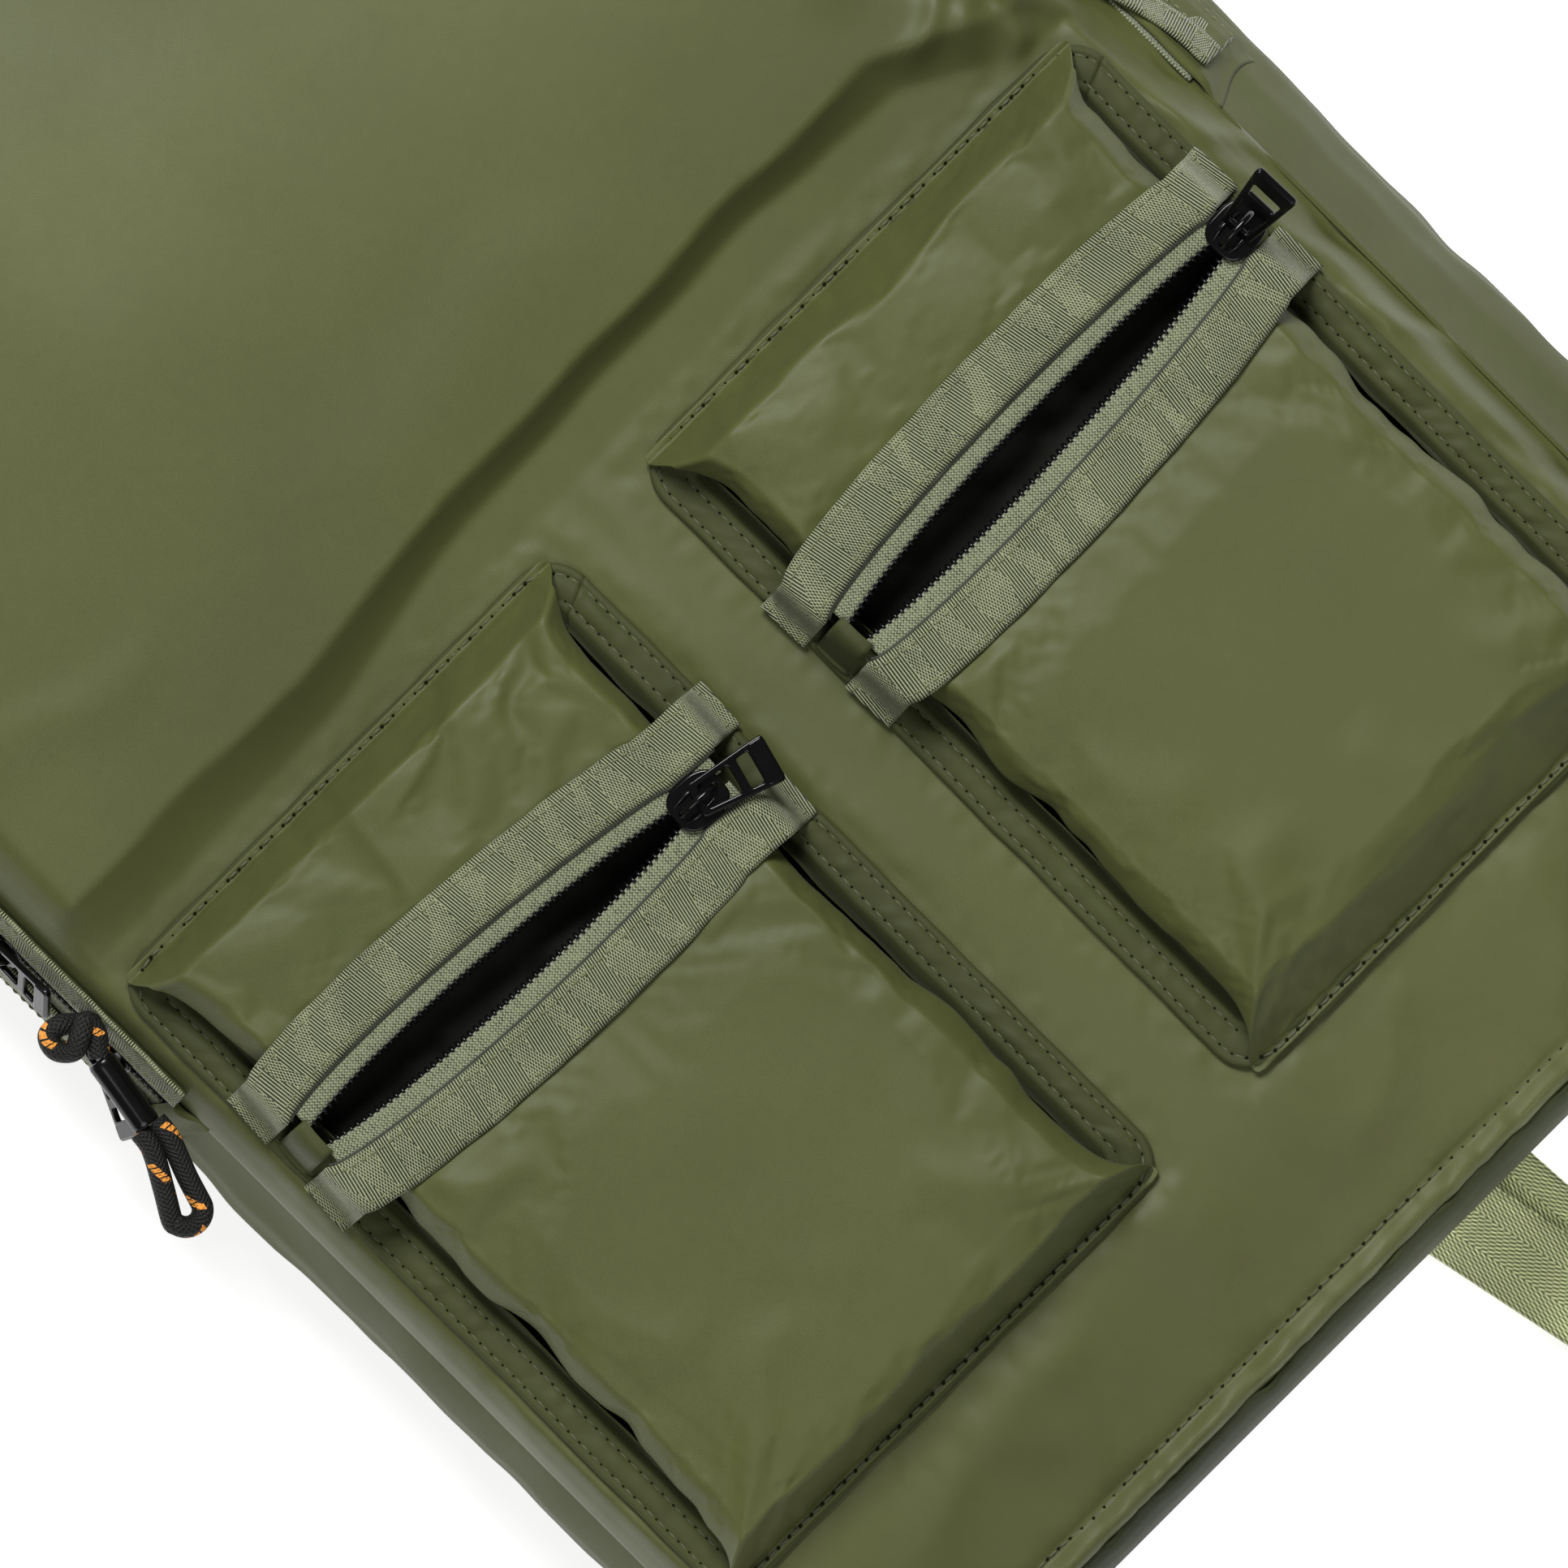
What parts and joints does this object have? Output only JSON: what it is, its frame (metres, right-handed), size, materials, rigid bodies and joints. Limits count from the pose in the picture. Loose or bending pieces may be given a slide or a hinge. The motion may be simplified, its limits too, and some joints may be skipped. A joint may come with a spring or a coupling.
{
  "type": "zipped nylon sack",
  "caption": "Soft nylon hiking sack with zipped gusseted cargo pockets, a long zip over the top, a webbing sling and a haul loop.",
  "frame": {"origin": "centre of the footprint on the surface that the sack lies on, back down", "axes": "+X across the sack, +Y along it from the bottom edge to the top, +Z out of its front"},
  "size_m": [0.4286, 0.7338, 0.1394],
  "materials": {
    "shell_fabric": "satin",
    "back_fabric": "matte",
    "trim_webbing": "matte",
    "zip_tape": "matte",
    "strap_webbing": "satin",
    "zip_coil": "gloss",
    "zip_metal": "gloss",
    "buckle_plastic": "satin",
    "cord": "matte",
    "cord_sleeve": "gloss"
  },
  "bodies": {
    "root": {"back_panel": "back_fabric", "bottom_gusset": "shell_fabric", "front_gusset_left": "shell_fabric", "front_gusset_right": "shell_fabric", "front_gusset_top": "shell_fabric", "front_panel_lower": "shell_fabric", "front_panel_upper": "shell_fabric", "haul_loop": "trim_webbing", "main_zip_coil_front": "zip_coil", "main_zip_coil_rear": "zip_coil", "main_zip_end_left": "shell_fabric", "main_zip_end_right": "shell_fabric", "main_zip_tape_front": "zip_tape", "main_zip_tape_rear": "zip_tape", "main_zip_trim_front": "trim_webbing", "main_zip_trim_rear": "trim_webbing", "pocket_left_face_lower": "shell_fabric", "pocket_left_face_upper": "shell_fabric", "pocket_left_gusset": "shell_fabric", "pocket_left_zip_coil_lower": "zip_coil", "pocket_left_zip_coil_upper": "zip_coil", "pocket_left_zip_end_tab": "shell_fabric", "pocket_left_zip_tape_lower": "zip_tape", "pocket_left_zip_tape_upper": "zip_tape", "pocket_left_zip_trim_lower": "trim_webbing", "pocket_left_zip_trim_upper": "trim_webbing", "pocket_right_face_lower": "shell_fabric", "pocket_right_face_upper": "shell_fabric", "pocket_right_gusset": "shell_fabric", "pocket_right_zip_coil_lower": "zip_coil", "pocket_right_zip_coil_upper": "zip_coil", "pocket_right_zip_end_tab": "shell_fabric", "pocket_right_zip_tape_lower": "zip_tape", "pocket_right_zip_tape_upper": "zip_tape", "pocket_right_zip_trim_lower": "trim_webbing", "pocket_right_zip_trim_upper": "trim_webbing", "rear_gusset_left": "shell_fabric", "rear_gusset_right": "shell_fabric", "rear_gusset_top": "shell_fabric", "sling_webbing": "strap_webbing", "zip_band_left": "shell_fabric", "zip_band_right": "shell_fabric"},
    "left_slider": {"pocket_left_slider": "zip_metal"},
    "left_pull": {"pocket_left_pull": "zip_metal"},
    "right_slider": {"pocket_right_slider": "zip_metal"},
    "right_pull": {"pocket_right_pull": "zip_metal"},
    "upper_slider": {"main_slider_upper": "zip_metal"},
    "upper_pull": {"main_pull_upper": "zip_metal", "pull_cord_knot": "cord", "pull_cord_loop": "cord", "pull_cord_sleeve": "cord_sleeve"},
    "lower_slider": {"main_slider_lower": "zip_metal"},
    "lower_pull": {"main_pull_lower": "zip_metal"},
    "adjuster": {"sling_adjuster": "buckle_plastic"}
  },
  "joints": [
    {"name": "left_zip_slide", "type": "slide", "parent": "root", "child": "left_slider", "axis": [0.9981, -0.061, 0], "range_m": [-0.122, 0.006]},
    {"name": "left_pull_flip", "type": "hinge", "parent": "left_slider", "child": "left_pull", "pos_m": [-0.03827, -0.04054, 0.1212], "axis": [-0.2588, -0.9659, 0], "range_deg": [0, 165]},
    {"name": "right_zip_slide", "type": "slide", "parent": "root", "child": "right_slider", "axis": [0.9996, 0.0297, 0], "range_m": [-0.134, 0]},
    {"name": "right_pull_flip", "type": "hinge", "parent": "right_slider", "child": "right_pull", "pos_m": [0.16732, -0.03456, 0.1212], "axis": [0.0297, -0.9996, 0], "range_deg": [-50, 115]},
    {"name": "main_zip_upper_slide", "type": "slide", "parent": "root", "child": "upper_slider", "axis": [0, 1, 0], "range_m": [0, 0.2]},
    {"name": "upper_pull_flip", "type": "hinge", "parent": "upper_slider", "child": "upper_pull", "pos_m": [-0.19867, 0.06425, 0.07681], "axis": [-0.41, -0.309, -0.8581], "range_deg": [0, 120]},
    {"name": "main_zip_lower_slide", "type": "slide", "parent": "root", "child": "lower_slider", "axis": [0, -1, 0], "range_m": [0, 0.01]},
    {"name": "lower_pull_flip", "type": "hinge", "parent": "lower_slider", "child": "lower_pull", "pos_m": [-0.19867, 0.02325, 0.07681], "axis": [-0.4217, 0.2079, -0.8826], "range_deg": [-12, 100]},
    {"name": "adjuster_slide", "type": "slide", "parent": "root", "child": "adjuster", "axis": [-0.2011, 0.9796, 0], "range_m": [-0.012, 0.012]}
  ]
}
